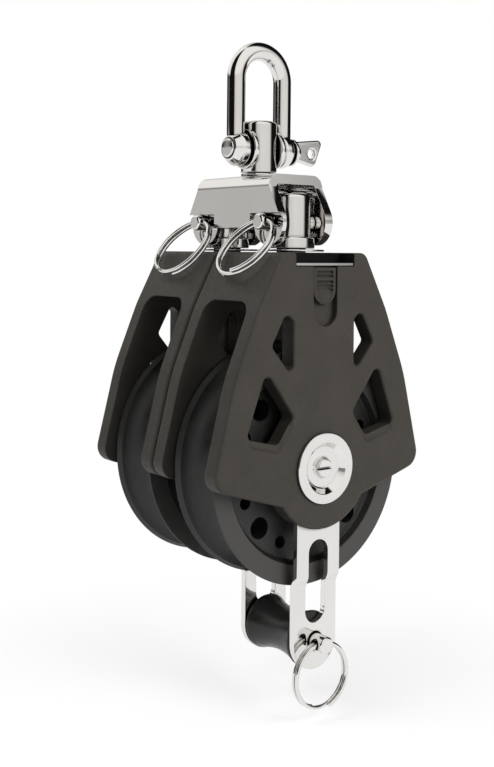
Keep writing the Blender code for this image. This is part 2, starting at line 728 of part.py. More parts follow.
def shackle_pin():
    eye = EYE_Y[1]
    collar = eye + GAP
    profile = [(0, -eye - 0.6), (SHACKLE_PIN_R - 0.6, -eye - 0.6), (SHACKLE_PIN_R, -eye),
               (SHACKLE_PIN_R, collar), (4.4, collar), (4.4, collar + 1.0), (3.0, collar + 2.2),
               (2.4, TAB_Y[0] + 1), (0, TAB_Y[0] + 1)]
    pin = turned("Y", (0, 0, SHACKLE_PIN_H), profile)
    near, far = TAB_Y
    flare = [(near, SHACKLE_PIN_H - 2.4, 1.0), (far - 3.6, SHACKLE_PIN_H - 4.4, 1.6),
             (far, SHACKLE_PIN_H + 5.0, 1.4), (near, SHACKLE_PIN_H + 3.6, 1.0)]
    hole = circle((TAB_HOLE_Y, SHACKLE_PIN_H), 1.5, 12)
    tab = slab("X", rounded(flare), -TAB_THICK / 2, TAB_THICK / 2, [hole])
    return united(pin, tab)


# ---------------------------------------------------------------- assembly

def build_head():
    add_piece("shackle_bow", "shackle", "polished_steel", shackle_bow())
    add_piece("shackle_pin", "shackle_pin", "polished_steel", shackle_pin())
    add_piece("swivel_post", "swivel", "polished_steel", swivel_post())
    shank = SWIVEL_SHANK_R + GAP
    under = BRACKET_TOP_H - PLATE - GAP
    add_piece("swivel_upper_washer", "swivel", "polished_steel",
              tube("Z", (0, 0, 0), (shank, 5.4), BRACKET_TOP_H + GAP, SWIVEL_FOOT_H - GAP))
    add_piece("swivel_lower_washer", "swivel", "polished_steel",
              tube("Z", (0, 0, 0), (shank, 6.3), under - 0.8, under))
    add_piece("swivel_nut", "swivel", "polished_steel",
              hex_nut(0, 5.9, shank, SWIVEL_SHANK_LOW_H + 0.4, under - 0.8 - GAP))
    add_piece("head_bracket", "bracket", "polished_steel", head_bracket())


def build_block(name, side):
    block = name + "_block"
    middle = (side * BLOCK_X, 0, 0)
    add_piece(name + "_clevis_pin", "bracket", "polished_steel", clevis_pin(side))
    add_piece(name + "_split_ring", name + "_ring", "polished_steel", head_ring(side))
    add_piece(name + "_block_shell", block, "charcoal_nylon", block_shell(side))
    add_piece(name + "_head_post", block, "polished_steel", head_post(side))
    add_piece(name + "_head_washer", block, "polished_steel",
              tube("Z", middle, (POST_SHANK_R + GAP, 10.2), SHELL_TOP_H + GAP, COLLAR_H[0] - GAP))
    add_piece(name + "_head_nut", block, "polished_steel",
              hex_nut(middle[0], 7.0, POST_SHANK_R + GAP, POST_FOOT_H + 0.3, NUT_POCKET_TOP_H - GAP))
    add_piece(name + "_lock_plate", block, "polished_steel", lock_plate(side))
    add_piece(name + "_lock_slider", name + "_slider", "charcoal_nylon", lock_slider(side))
    add_piece(name + "_axle_tube", block, "polished_steel",
              tube("X", middle, TUBE_R, -TUBE_HALF, TUBE_HALF, HIDDEN_ROUND))
    add_piece(name + "_outer_axle_cap", block, "polished_steel", outer_cap(side))
    add_piece(name + "_inner_axle_cap", block, "polished_steel", inner_cap(side))
    add_piece(name + "_bearing_race", block, "polished_steel",
              tube("X", middle, RACE_R, -RACE_HALF, RACE_HALF, HIDDEN_ROUND))
    add_piece(name + "_sheave", name + "_sheave", "black_acetal", sheave(side))
    add_piece(name + "_roller_cage", name + "_bearing", "black_acetal", roller_cage(side))
    add_piece(name + "_outer_ball_cage", name + "_bearing", "black_acetal", ball_cage(side, side * BALL_X))
    add_piece(name + "_inner_ball_cage", name + "_bearing", "black_acetal", ball_cage(side, -side * BALL_X))


def build_spacers():
    """Washers that fill the strap pockets of the block without a becket."""
    low, high = STRAP_X - STRAP_THICK / 2, STRAP_X + STRAP_THICK / 2
    for name, way in (("left_outer_spacer", -1), ("left_inner_spacer", 1)):
        ends = sorted((way * low, way * high))
        add_piece(name, "left_block", "polished_steel",
                  tube("X", (-BLOCK_X, 0, 0), (TUBE_R[1] + GAP, STRAP_HALF), *ends, HIDDEN_ROUND))


def build_becket():
    add_piece("becket_outer_strap", "right_block", "polished_steel", becket_strap(1))
    add_piece("becket_inner_strap", "right_block", "polished_steel", becket_strap(-1))
    add_piece("becket_pin", "right_block", "polished_steel", becket_pin())
    add_piece("becket_spool", "becket_spool", "gloss_black", becket_spool())
    add_piece("becket_split_ring", "becket_ring", "polished_steel", becket_ring())


def main():
    for obj in list(bpy.data.objects):
        bpy.data.objects.remove(obj, do_unlink=True)
    make_materials()
    make_bodies()
    build_head()
    for name, side in SIDES.items():
        build_block(name, side)
    build_spacers()
    build_becket()


main()
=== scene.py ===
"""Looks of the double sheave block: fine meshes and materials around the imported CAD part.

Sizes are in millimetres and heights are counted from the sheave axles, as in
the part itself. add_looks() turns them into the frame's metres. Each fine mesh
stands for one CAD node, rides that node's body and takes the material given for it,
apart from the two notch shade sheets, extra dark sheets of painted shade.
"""

import json
import math

import bmesh
import bpy
from mathutils import Matrix, Vector
from mathutils.geometry import tessellate_polygon

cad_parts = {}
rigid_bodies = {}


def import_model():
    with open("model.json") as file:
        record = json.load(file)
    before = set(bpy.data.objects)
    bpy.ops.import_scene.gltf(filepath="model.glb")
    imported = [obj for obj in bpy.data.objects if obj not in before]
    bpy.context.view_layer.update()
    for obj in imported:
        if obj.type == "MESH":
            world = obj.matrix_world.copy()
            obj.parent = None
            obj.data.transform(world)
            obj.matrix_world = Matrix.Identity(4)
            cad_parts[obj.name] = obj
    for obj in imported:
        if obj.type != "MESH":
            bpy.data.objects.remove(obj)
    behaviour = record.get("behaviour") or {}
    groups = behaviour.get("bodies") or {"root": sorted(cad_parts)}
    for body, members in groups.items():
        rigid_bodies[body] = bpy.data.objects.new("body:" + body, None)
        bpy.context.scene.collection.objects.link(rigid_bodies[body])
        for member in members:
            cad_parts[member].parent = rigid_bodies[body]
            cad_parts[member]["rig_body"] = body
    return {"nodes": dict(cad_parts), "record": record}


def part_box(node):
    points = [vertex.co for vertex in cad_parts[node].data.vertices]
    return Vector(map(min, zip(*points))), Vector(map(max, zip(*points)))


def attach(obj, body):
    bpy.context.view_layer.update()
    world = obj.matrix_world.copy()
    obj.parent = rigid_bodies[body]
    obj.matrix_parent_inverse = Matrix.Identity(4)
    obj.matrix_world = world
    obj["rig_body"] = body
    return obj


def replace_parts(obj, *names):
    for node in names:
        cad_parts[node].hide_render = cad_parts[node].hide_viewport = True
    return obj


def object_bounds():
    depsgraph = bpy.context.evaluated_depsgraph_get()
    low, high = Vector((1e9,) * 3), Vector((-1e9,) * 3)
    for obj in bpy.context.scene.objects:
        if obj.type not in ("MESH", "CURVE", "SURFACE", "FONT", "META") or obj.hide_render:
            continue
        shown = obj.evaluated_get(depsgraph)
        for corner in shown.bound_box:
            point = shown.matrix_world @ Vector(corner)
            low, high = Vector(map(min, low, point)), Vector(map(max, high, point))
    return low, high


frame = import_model()
CAD_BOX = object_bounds()

MM = 0.001
GAP = 0.3


def node_centre(name):
    low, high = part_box(name)
    return (low + high) / 2 / MM


# Layout: the frame gives the first two
BLOCK_X = node_centre("right_sheave").x
CROWN_H = -node_centre("right_sheave").z
SHACKLE_PIN_H = 96.2
CLEVIS_H = 72.9

# Block shell
SHELL_HALF = 16.2
SHELL_TOP_H = 63.7
LOBE_R = 18.3
SLOT_HALF = 10.75
SLOT_TOP_H = 49.3
SLOT_R = 4.5
AXLE_BORE_R = 8.5
POCKET_HALF = 8.7
POCKET_DEPTH = 14.5
NOTCH_HALF_Y = 11.5
NOTCH_FLOOR_H = 59.6
NOTCH_FROM = 9.7
SLIDER_HALF = 4.35
SLIDER_LOW_H = 48.3
SLIDER_TOP_H = 59.3
SLIDER_X = (14.3, 15.9)
SLIDER_TRAVEL = 6.2
GRIP_HEIGHTS = (52.6, 53.8, 55.0, 56.7, 57.9)
GRIP_HALF = 0.4
GRIP_DEPTH = 0.8
LEDGE_DROP = 2.4              # moulded ledge under each lower window
LEDGE_DEPTH = 0.8

# Sheave, axle and becket
SHEAVE_R = 36.0
SHEAVE_HALF = 9.6
GROOVE_R = 7.6
RIM_BAND_R = 30.0
WEB_HALF = 7.3
HUB_R = 13.5
SHEAVE_BORE_R = 10.1
HOLE_RING_R = 24.4
HOLE_PAIRS = 8
BIG_HOLE_R = 3.25
SMALL_HOLE_R = 1.9
FIRST_HOLE = 45.0             # degrees
TURNING_PITCH = 0.45          # of the marks left by the lathe
CAP_R = 10.6
CAP_FACE = 17.4
CAP_PLUG_R = 8.2
CAP_SHANK_R = 2.6
DISH_R = 7.7
DISH_FLOOR = 15.4
SCREW_SLOT = (0.9, 1.1)
TUBE_R = 5.0
STRAP_HALF = 8.3
STRAP_THICK = 2.0
STRAP_X = 13.2
STRAP_JOGGLE = 1.4
JOGGLE_H = (-32.0, -36.0)
STRAP_SLOT = (3.75, -21.7, -46.6)
BECKET_PIN_H = -52.2
BECKET_PIN_R = 2.5
BECKET_PIN_END = 18.5
BECKET_RING_X = 15.5
SPOOL_R = (8.3, 6.5)
SPOOL_HALF = 10.5

# Head bracket, pins, posts and rings
PLATE = 3.0
BRACKET_TOP_H = 87.5
BRACKET_HALF_Y = 10.7
BRACKET_TOP_X = 18.6
BRACKET_END_H = 83.7
EAR_R = 7.1
BRACKET_LOW_H = 71.3
BEND_R = 3.9
EAR_STEP = 1.6
EAR_STEP_TOP_H = 75.6
EAR_STEP_HALF = 7.2
CLEVIS_R = 2.5
CLEVIS_HEAD_R = 4.6
CLEVIS_END_Y = 13.4
RING_HOLE_Y = -11.0
RING_HOLE_R = 1.7
POST_R = 5.9
POST_TOP_H = 81.6
COLLAR_R = 7.2
COLLAR_H = (64.9, 68.3)
POST_SHANK_R = 4.5
POST_FOOT_H = 49.9
WASHER_R = 10.2
HEAD_RING_R = 10.4
BECKET_RING_R = 9.5
RING_WIRE_R = 0.6
RING_PITCH = 1.3
RING_LEAN = 40.5

# Swivel and shackle
SWIVEL_R = 5.7
SWIVEL_TOP_H = 105.2
SWIVEL_FOOT_H = 88.9
SWIVEL_SHANK_R = 3.6
SWIVEL_SHANK_LOW_H = 79.4
UPPER_WASHER_R = 5.65
LOWER_WASHER_R = 6.3
LOWER_WASHER_THICK = 0.8
SWIVEL_NUT_R = 5.9
SWIVEL_NUT_LOW_H = 79.8
BOSS_R = 6.35
BOSS_Y = (4.6, 6.2)
BAR_R = 2.9
LEG_Y = 9.3
EYE_R = 5.5
EYE_Y = (6.6, 12.2)
SHACKLE_PIN_R = 3.0
TAB_Y = (14.0, 26.4)
TAB_HOLE_Y = 21.4
TAB_THICK = 2.2

ROUND = 72                    # sides of round pieces
BEYOND = 60.0                 # how far cutters run past the block
DOME = 0.25                   # rise of a bar's domed end, as a share of its radius
SIDES = {"left": -1, "right": 1}


# ---------------------------------------------------------------- outlines

def arc(centre, radius, start, end, steps):
    """Points from angle start to angle end, in degrees, both included."""
    points = []
    for step in range(steps + 1):
        angle = math.radians(start + (end - start) * step / steps)
        points.append(Vector((centre[0] + radius * math.cos(angle),
                              centre[1] + radius * math.sin(angle))))
    return points


def circle(centre, radius, steps=ROUND):
    return arc(centre, radius, 0, 360, steps)[:-1]


def rounded(corners, steps=6):
    """Closed outline through corners (a, b, radius), each turned into an arc."""
    points = []
    for index, (a, b, radius) in enumerate(corners):
        corner = Vector((a, b))
        if radius == 0:
            points.append(corner)
            continue
        back = (Vector(corners[index - 1][:2]) - corner).normalized()
        ahead = (Vector(corners[(index + 1) % len(corners)][:2]) - corner).normalized()
        half = back.angle(ahead) / 2
        centre = corner + (back + ahead).normalized() * radius / math.sin(half)
        first = corner + back * radius / math.tan(half) - centre
        last = corner + ahead * radius / math.tan(half) - centre
        turn = math.atan2(first.cross(last), first.dot(last))
        for step in range(steps + 1):
            points.append(centre + Matrix.Rotation(turn * step / steps, 2) @ first)
    return points


def moved_in(points, distance):
    """The outline with every side moved inwards by distance."""
    count = len(points)
    area = sum(points[i - 1].cross(points[i]) for i in range(count))
    side = math.copysign(1.0, area)
    result = []
    for index, point in enumerate(points):
        before = (point - points[index - 1]).normalized()
        after = (points[(index + 1) % count] - point).normalized()
        normal_a = Vector((-before.y, before.x)) * side
        normal_b = Vector((-after.y, after.x)) * side
        result.append(point + (normal_a + normal_b) * distance / (1 + normal_a.dot(normal_b)))
    return result


def mirrored(half):
    """Closed outline from its half at a > 0, running from top to bottom."""
    return half + [Vector((-point.x, point.y)) for point in reversed(half)]


def strap_outline(half, low, high, steps=24):
    """Bar with round ends between two heights of its end centres."""
    return arc((0, high), half, 180, 0, steps) + arc((0, low), half, 0, -180, steps)


# ------------------------------------------------------------------ meshes

def placed(axis, a, b, depth):
    """Point of an outline (a, b) at a depth along the axis of the solid."""
    if axis == "X":
        return Vector((depth, a, b))
    if axis == "Y":
        return Vector((a, depth, b))
    return Vector((a, b, depth))


def lofted(axis, outline, holes, levels):
    """Flat solid along an axis. Each level is (depth, edge inset, hole growth)."""
    mesh = bmesh.new()
    rings = []
    for depth, inset, growth in levels:
        loops = [moved_in(outline, inset)] + [moved_in(hole, -growth) for hole in holes]
        rings.append([[mesh.verts.new(placed(axis, p.x, p.y, depth)) for p in loop]
                      for loop in loops])
    for low_ring, high_ring in zip(rings, rings[1:]):
        for low, high in zip(low_ring, high_ring):
            for i in range(len(low)):
                mesh.faces.new((low[i - 1], low[i], high[i], high[i - 1]))
    for ring in (rings[0], rings[-1]):
        if not holes:
            mesh.faces.new(ring[0])
            continue
        corners = [vert for loop in ring for vert in loop]
        for triangle in tessellate_polygon([[vert.co for vert in loop] for loop in ring]):
            mesh.faces.new([corners[i] for i in triangle])
    bmesh.ops.recalc_face_normals(mesh, faces=mesh.faces)
    return mesh


def plate(axis, outline, low, high, holes=(), fillet=0.0, steps=3):
    """Flat solid between two depths, its edges rounded by fillet."""
    low, high = sorted((low, high))
    if not fillet:
        return lofted(axis, outline, list(holes), [(low, 0, 0), (high, 0, 0)])
    levels = []
    for step in range(steps + 1):
        angle = math.pi / 2 * step / steps
        inset = fillet * (1 - math.sin(angle))
        levels.append((low + fillet * (1 - math.cos(angle)), inset, inset))
    levels += [(low + high - depth, inset, growth) for depth, inset, growth in reversed(levels)]
    return lofted(axis, outline, list(holes), levels)


def box(low, high):
    outline = [Vector((low[0], low[1])), Vector((high[0], low[1])),
               Vector((high[0], high[1])), Vector((low[0], high[1]))]
    return plate("Z", outline, low[2], high[2])


def turned(axis, centre, profile, steps=ROUND, ring=False):
    """Solid turned about an axis through centre, from (radius, depth) points."""
    mesh = bmesh.new()
    rings = []
    for radius, depth in profile:
        angles = [0] if radius < 1e-6 else [math.tau * i / steps for i in range(steps)]
        rings.append([mesh.verts.new(placed(axis, radius * math.cos(t), radius * math.sin(t), depth))
                      for t in angles])
    pairs = list(zip(rings, rings[1:]))
    if ring:
        pairs.append((rings[-1], rings[0]))
    for low, high in pairs:
        if len(low) == len(high) == 1:
            continue
        for i in range(steps):
            corners = [low[(i - 1) % len(low)], low[i % len(low)],
                       high[i % len(high)], high[(i - 1) % len(high)]]
            mesh.faces.new(list(dict.fromkeys(corners)))
    bmesh.ops.translate(mesh, verts=mesh.verts, vec=Vector(centre))
    bmesh.ops.recalc_face_normals(mesh, faces=mesh.faces)
    return mesh


def tube(axis, centre, radii, low, high, fillet=0.25):
    """Washer or sleeve with rounded edges."""
    inner, outer = radii
    profile = rounded([(inner, low, fillet / 2), (outer, low, fillet), (outer, high, fillet),
                       (inner, high, fillet / 2)], 3)
    return turned(axis, centre, profile, ring=True)


def swept(path, radius, steps):
    """Round bar along a list of points, with domed ends."""
    mesh = bmesh.new()
    tangents = []
    for index in range(len(path)):
        first = path[max(index - 1, 0)]
        last = path[min(index + 1, len(path) - 1)]
        tangents.append((last - first).normalized())
    side = tangents[0].orthogonal().normalized()
    rings = []
    for index, point in enumerate(path):
        if index:
            side = tangents[index - 1].rotation_difference(tangents[index]) @ side
        other = tangents[index].cross(side)
        rings.append([mesh.verts.new(point + radius * (side * math.cos(math.tau * i / steps)
                                                       + other * math.sin(math.tau * i / steps)))
                      for i in range(steps)])
    for low, high in zip(rings, rings[1:]):
        for i in range(steps):
            mesh.faces.new((low[i - 1], low[i], high[i], high[i - 1]))
    for ring, point, tangent in ((rings[0], path[0], -tangents[0]), (rings[-1], path[-1], tangents[-1])):
        tip = mesh.verts.new(point + tangent * radius * DOME)
        for i in range(steps):
            mesh.faces.new((ring[i - 1], ring[i], tip))
    bmesh.ops.recalc_face_normals(mesh, faces=mesh.faces)
    return mesh


def joined(*meshes):
    """One mesh from several solids."""
    whole = bmesh.new()
    for mesh in meshes:
        data = bpy.data.meshes.new("joined")
        mesh.to_mesh(data)
        mesh.free()
        whole.from_mesh(data)
        bpy.data.meshes.remove(data)
    return whole


def temporary_object(mesh):
    data = bpy.data.meshes.new("temporary")
    mesh.to_mesh(data)
    mesh.free()
    obj = bpy.data.objects.new("temporary", data)
    bpy.context.scene.collection.objects.link(obj)
    return obj


def combined(mesh, tools, operation):
    """The mesh after an exact Boolean with each tool mesh in turn."""
    target = temporary_object(mesh)
    for tool_mesh in tools:
        tool = temporary_object(tool_mesh)
        modifier = target.modifiers.new("boolean", "BOOLEAN")
        modifier.operation = operation
        modifier.solver = "EXACT"
        modifier.object = tool
        target.data = evaluated_mesh(target)
        target.modifiers.clear()
        bpy.data.objects.remove(tool)
    result = bmesh.new()
    result.from_mesh(target.data)
    bpy.data.objects.remove(target)
    return result


def evaluated_mesh(obj):
    graph = bpy.context.evaluated_depsgraph_get()
    return bpy.data.meshes.new_from_object(obj.evaluated_get(graph))


def cut(mesh, *tools):
    return combined(mesh, tools, "DIFFERENCE")


def united(mesh, *others):
    return combined(mesh, others, "UNION")


# ------------------------------------------------------ pieces on the frame

SLOTS = {part["node"]: part["material_slot"] for part in frame["record"]["subparts"]}


def add_looks(name, body, mesh, material, edge=0.0):
    """Piece that rides a body, its sharp edges rounded by edge."""
    bmesh.ops.remove_doubles(mesh, verts=mesh.verts, dist=1e-4)
    if edge:
        bmesh.ops.dissolve_limit(mesh, angle_limit=math.radians(0.3), verts=mesh.verts, edges=mesh.edges)
    bmesh.ops.translate(mesh, verts=mesh.verts, vec=(0, 0, -CROWN_H))
    bmesh.ops.scale(mesh, verts=mesh.verts, vec=(MM, MM, MM))
    data = bpy.data.meshes.new(name)
    mesh.to_mesh(data)
    mesh.free()
    data.shade_smooth()
    obj = bpy.data.objects.new(name, data)
    bpy.context.scene.collection.objects.link(obj)
    if edge:
        bevel = obj.modifiers.new("bevel", "BEVEL")
        bevel.width = edge * MM
        bevel.segments = 3
        bevel.limit_method = "ANGLE"
        bevel.angle_limit = math.radians(45)
        bevel.miter_outer = "MITER_ARC"
        obj.data = evaluated_mesh(obj)
        obj.modifiers.clear()
    obj.data.set_sharp_from_angle(angle=math.radians(42))
    weights = obj.modifiers.new("weights", "WEIGHTED_NORMAL")
    weights.keep_sharp = True
    obj.data = evaluated_mesh(obj)
    obj.modifiers.clear()
    obj.data.materials.clear()
    obj.data.materials.append(material)
    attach(obj, body)
    return obj


def show(node, mesh, material, edge=0.0):
    """Piece that stands for a CAD node."""
    body = frame["nodes"][node]["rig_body"]
    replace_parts(add_looks(node + "_looks", body, mesh, material, edge), node)


# --------------------------------------------------------------- materials

class Nodes:
    """Small builder for a shader node tree."""

    def __init__(self, tree):
        self.tree = tree

    def add(self, kind, **settings):
        node = self.tree.nodes.new(kind)
        for name, value in settings.items():
            setattr(node, name, value)
        return node

    def link(self, source, target):
        self.tree.links.new(source, target)

    def feed(self, socket, value):
        """Link the socket to another node's output, or set it to a plain value."""
        if isinstance(value, bpy.types.NodeSocket):
            self.link(value, socket)
        else:
            socket.default_value = value

    def math(self, operation, a, b=0.0):
        node = self.add("ShaderNodeMath", operation=operation)
        self.feed(node.inputs[0], a)
        self.feed(node.inputs[1], b)
        return node.outputs["Value"]

    def dot(self, a, b):
        node = self.add("ShaderNodeVectorMath", operation="DOT_PRODUCT")
        self.feed(node.inputs[0], a)
        self.feed(node.inputs[1], b)
        return node.outputs["Value"]

    def spread(self, value, low, high, start=0.3, end=0.7, kind="LINEAR"):
        """Value from start..end mapped to low..high."""
        node = self.add("ShaderNodeMapRange", interpolation_type=kind)
        node.inputs["From Min"].default_value = start
        node.inputs["From Max"].default_value = end
        node.inputs["To Min"].default_value = low
        node.inputs["To Max"].default_value = high
        self.link(value, node.inputs["Value"])
        return node.outputs["Result"]

    def blend(self, factor, a, b, kind="MIX"):
        """Colour a where factor is 0, and b over it where factor is 1."""
        node = self.add("ShaderNodeMix", data_type="RGBA", blend_type=kind)
        self.feed(node.inputs[0], factor)
        self.feed(node.inputs[6], a)
        self.feed(node.inputs[7], b)
        return node.outputs[2]


class Finish(Nodes):
    """Procedural Principled material."""

    def __init__(self, name, color, roughness, metallic=0.0):
        self.material = bpy.data.materials.new(name)
        self.material.use_nodes = True
        super().__init__(self.material.node_tree)
        self.shader = self.tree.nodes["Principled BSDF"]
        self.shader.inputs["Base Color"].default_value = (*color, 1)
        self.shader.inputs["Roughness"].default_value = roughness
        self.shader.inputs["Metallic"].default_value = metallic
        self.color = color
        self.place = self.add("ShaderNodeTexCoord").outputs["Object"]

    def noise(self, scale, detail=3.0):
        """Noise with cells of 1/scale metres."""
        node = self.add("ShaderNodeTexNoise")
        node.inputs["Scale"].default_value = scale
        node.inputs["Detail"].default_value = detail
        self.link(self.place, node.inputs["Vector"])
        return node.outputs["Fac"]

    def shade(self, amount):
        """Base colour times amount."""
        color = self.blend(1.0, (*self.color, 1), amount, "MULTIPLY")
        self.link(color, self.shader.inputs["Base Color"])

    def rough(self, value):
        self.link(value, self.shader.inputs["Roughness"])

    def relief(self, height, depth, normal=None):
        """Bump of the given depth in metres."""
        node = self.add("ShaderNodeBump")
        node.inputs["Distance"].default_value = depth
        self.link(height, node.inputs["Height"])
        if normal:
            self.link(normal, node.inputs["Normal"])
        self.link(node.outputs["Normal"], self.shader.inputs["Normal"])

    def painted_corner_shade(self, distance):
        """Painted shade: 1 on open faces, near 0 in corners and gaps narrower than distance."""
        node = self.add("ShaderNodeAmbientOcclusion", samples=8)
        node.inputs["Distance"].default_value = distance
        return self.spread(node.outputs["AO"], 0.04, 1.0, 0.35, 0.85)

    def soft_edges(self, radius):
        node = self.add("ShaderNodeBevel", samples=4)
        node.inputs["Radius"].default_value = radius
        return node.outputs["Normal"]

    def edge_mask(self, soft_normal):
        """1 where the surface bends away within the soft edge, else 0."""
        normal = self.add("ShaderNodeNewGeometry").outputs["Normal"]
        return self.spread(self.dot(normal, soft_normal), 1.0, 0.0, 0.75, 0.99)


def moulded_nylon():
    finish = Finish("charcoal_nylon_looks", (0.0325, 0.0290, 0.0240), 0.55)
    finish.shader.inputs["Specular IOR Level"].default_value = 0.35
    mottle = finish.noise(90, 5)
    grain = finish.noise(2600, 2)
    soft = finish.soft_edges(0.0006)
    # Paler rounded edges: painted highlight along the edges, mixed with wear.
    edge_wear_and_highlight = finish.math("MULTIPLY", finish.edge_mask(soft), finish.spread(finish.noise(500, 4), 0.05, 0.5))
    tone = finish.math("ADD", finish.spread(mottle, 0.88, 1.10), finish.spread(grain, -0.10, 0.10))
    finish.shade(finish.math("ADD", tone, edge_wear_and_highlight))
    finish.rough(finish.spread(finish.noise(700, 3), 0.48, 0.62))
    finish.relief(grain, 0.00004, soft)
    return finish.material


def turned_acetal():
    """Satin black, with the flat rim band painted paler as a highlight."""
    finish = Finish("black_acetal_looks", (0.0092, 0.0088, 0.0083), 0.42)
    split = finish.add("ShaderNodeSeparateXYZ")
    finish.link(finish.place, split.inputs["Vector"])
    height = finish.math("ADD", split.outputs["Z"], CROWN_H * MM)
    radius = finish.math("SQRT", finish.math("ADD", finish.math("MULTIPLY", height, height),
                                             finish.math("MULTIPLY", split.outputs["Y"], split.outputs["Y"])))
    rings = finish.math("SINE", finish.math("MULTIPLY", radius, math.tau / (TURNING_PITCH * MM)))
    across = finish.math("SUBTRACT", finish.math("ABSOLUTE", split.outputs["X"]), BLOCK_X * MM)
    # Painted highlight: the flat rim band on both sides of the sheave is made paler.
    side_face = finish.math("GREATER_THAN", finish.math("ABSOLUTE", across), (SHEAVE_HALF - 0.2) * MM)
    rim = finish.math("MULTIPLY", side_face, finish.math("GREATER_THAN", radius, (RIM_BAND_R - 0.5) * MM))
    dust = finish.noise(400, 5)
    tone = finish.math("ADD", finish.spread(dust, 0.85, 1.2), finish.math("MULTIPLY", rim, 2.8))
    finish.shade(tone)
    finish.rough(finish.spread(dust, 0.38, 0.52))
    finish.relief(finish.math("ADD", rings, finish.noise(2200, 2)), 0.000006)
    return finish.material


def polished_steel():
    finish = Finish("polished_steel_looks", (0.81, 0.797, 0.778), 0.06, 1.0)
    finish.rough(finish.spread(finish.noise(120, 4), 0.045, 0.10))
    tone = finish.spread(finish.noise(60, 3), 0.95, 1.0)
    # Painted shade: the steel is darkened in its corners and gaps.
    finish.shade(finish.math("MULTIPLY", tone, finish.painted_corner_shade(0.0016)))
    return finish.material


def spool_plastic():
    finish = Finish("gloss_black_looks", (0.012, 0.0115, 0.011), 0.3)
    finish.shader.inputs["Specular IOR Level"].default_value = 0.35
    scuffs = finish.noise(350, 6)
    finish.rough(finish.spread(scuffs, 0.22, 0.4))
    finish.shade(finish.spread(finish.noise(120, 4), 0.8, 1.25))
    finish.relief(finish.noise(1500, 2), 0.000008)
    return finish.material


def notch_shade_finish():
    # Near-black finish for the notch sheets, which paint the shade in the notches.
    finish = Finish("notch_liner_looks", (0.004, 0.004, 0.004), 0.6)
    finish.shader.inputs["Specular IOR Level"].default_value = 0.1
    finish.rough(finish.spread(finish.noise(600), 0.5, 0.7))
    return finish.material


# ------------------------------------------------------------ block shells

def shell_outline():
    side = rounded([(0, SHELL_TOP_H, 0), (16.4, SHELL_TOP_H, 3.0), (25.4, 46.4, 45.0),
                    (33.4, 26.6, 60.0), (40.5, -2.4, 5.0), (15.4, -9.9, 0)], 8)[1:-1]
    return mirrored(side + arc((0, 0), LOBE_R, -33, -90, 16)[:-1])


def window_outlines():
    upper = [(12.0, 43.6, 1.2), (14.7, 46.2, 1.6), (19.9, 36.6, 1.5), (13.4, 29.0, 1.2),
             (12.0, 30.4, 1.2)]
    lower = [(21.9, 29.6, 1.6), (28.8, 10.8, 1.8), (17.2, 8.0, 1.8), (11.6, 15.8, 1.6)]
    windows = []
    for corners in (upper, lower):
        for side in (-1, 1):
            windows.append([Vector((side * p.x, p.y)) for p in rounded(corners, 5)])
    return windows


def window_ledge(window, outer, inner):
    """Tapered cutter for the ledge moulded under a window."""
    dropped = [Vector((point.x, point.y - LEDGE_DROP)) for point in window]
    return lofted("X", dropped, [], [(inner, LEDGE_DEPTH, 0), (outer, -0.2, 0)])


def block_shell(side):
    middle = side * BLOCK_X

    def across(distance):
        return middle + side * distance

    face = SHELL_HALF
    windows = window_outlines()
    shell = plate("X", shell_outline(), middle - face, middle + face, windows, fillet=0.9, steps=4)
    slot = plate("Y", rounded([(middle - SLOT_HALF, -BEYOND, 0), (middle + SLOT_HALF, -BEYOND, 0),
                               (middle + SLOT_HALF, SLOT_TOP_H, SLOT_R),
                               (middle - SLOT_HALF, SLOT_TOP_H, SLOT_R)]), -BEYOND, BEYOND)
    pocket = plate("X", strap_outline(POCKET_HALF, -BEYOND, 0),
                   middle - POCKET_DEPTH, middle + POCKET_DEPTH)
    bore = plate("X", circle((0, 0), AXLE_BORE_R), middle - BEYOND, middle + BEYOND)
    notch_x = sorted((across(NOTCH_FROM), across(face + 1)))
    notch = box((notch_x[0], -NOTCH_HALF_Y, NOTCH_FLOOR_H), (notch_x[1], NOTCH_HALF_Y, SHELL_TOP_H + 1))
    recess_low = SLIDER_LOW_H - SLIDER_TRAVEL + SLIDER_HALF
    recess_half = SLIDER_HALF + GAP
    ends = [Vector((way * recess_half, NOTCH_FLOOR_H + 1)) for way in (1, -1)]
    recess_outline = ends[:1] + arc((0, recess_low), recess_half, 0, -180, 24) + ends[1:]
    recess = plate("X", recess_outline, across(SLIDER_X[0] - GAP), across(face + 1))
    ledges = [window_ledge(window, across(face + 0.2), across(face - LEDGE_DEPTH)) for window in windows[2:]]
    return cut(shell, slot, pocket, bore, notch, recess, joined(*ledges))


def lock_slider(side):
    """Thumb slider with five grip grooves and a round dish below them."""
    middle = side * BLOCK_X
    near, far = (middle + side * x for x in SLIDER_X)
    lower = arc((0, SLIDER_LOW_H + SLIDER_HALF), SLIDER_HALF, 0, -180, 24)
    outline = lower + [Vector((-SLIDER_HALF, SLIDER_TOP_H)), Vector((SLIDER_HALF, SLIDER_TOP_H))]
    slider = plate("X", outline, near, far, fillet=0.3)
    groove_half = SLIDER_HALF - 1.1
    grooves = []
    low, high = sorted((far - side * GRIP_DEPTH, far + side))
    for height in GRIP_HEIGHTS:
        grooves.append(box((low, -groove_half, height - GRIP_HALF), (high, groove_half, height + GRIP_HALF)))
    profile = [(0, far - side * 0.9), (2.6, far - side * 0.45),
               (3.1, far + side * 0.3), (0, far + side * 0.3)]
    dish = turned("X", (0, 0, SLIDER_LOW_H + SLIDER_HALF - 1.2), profile)
    return cut(slider, *grooves, dish)


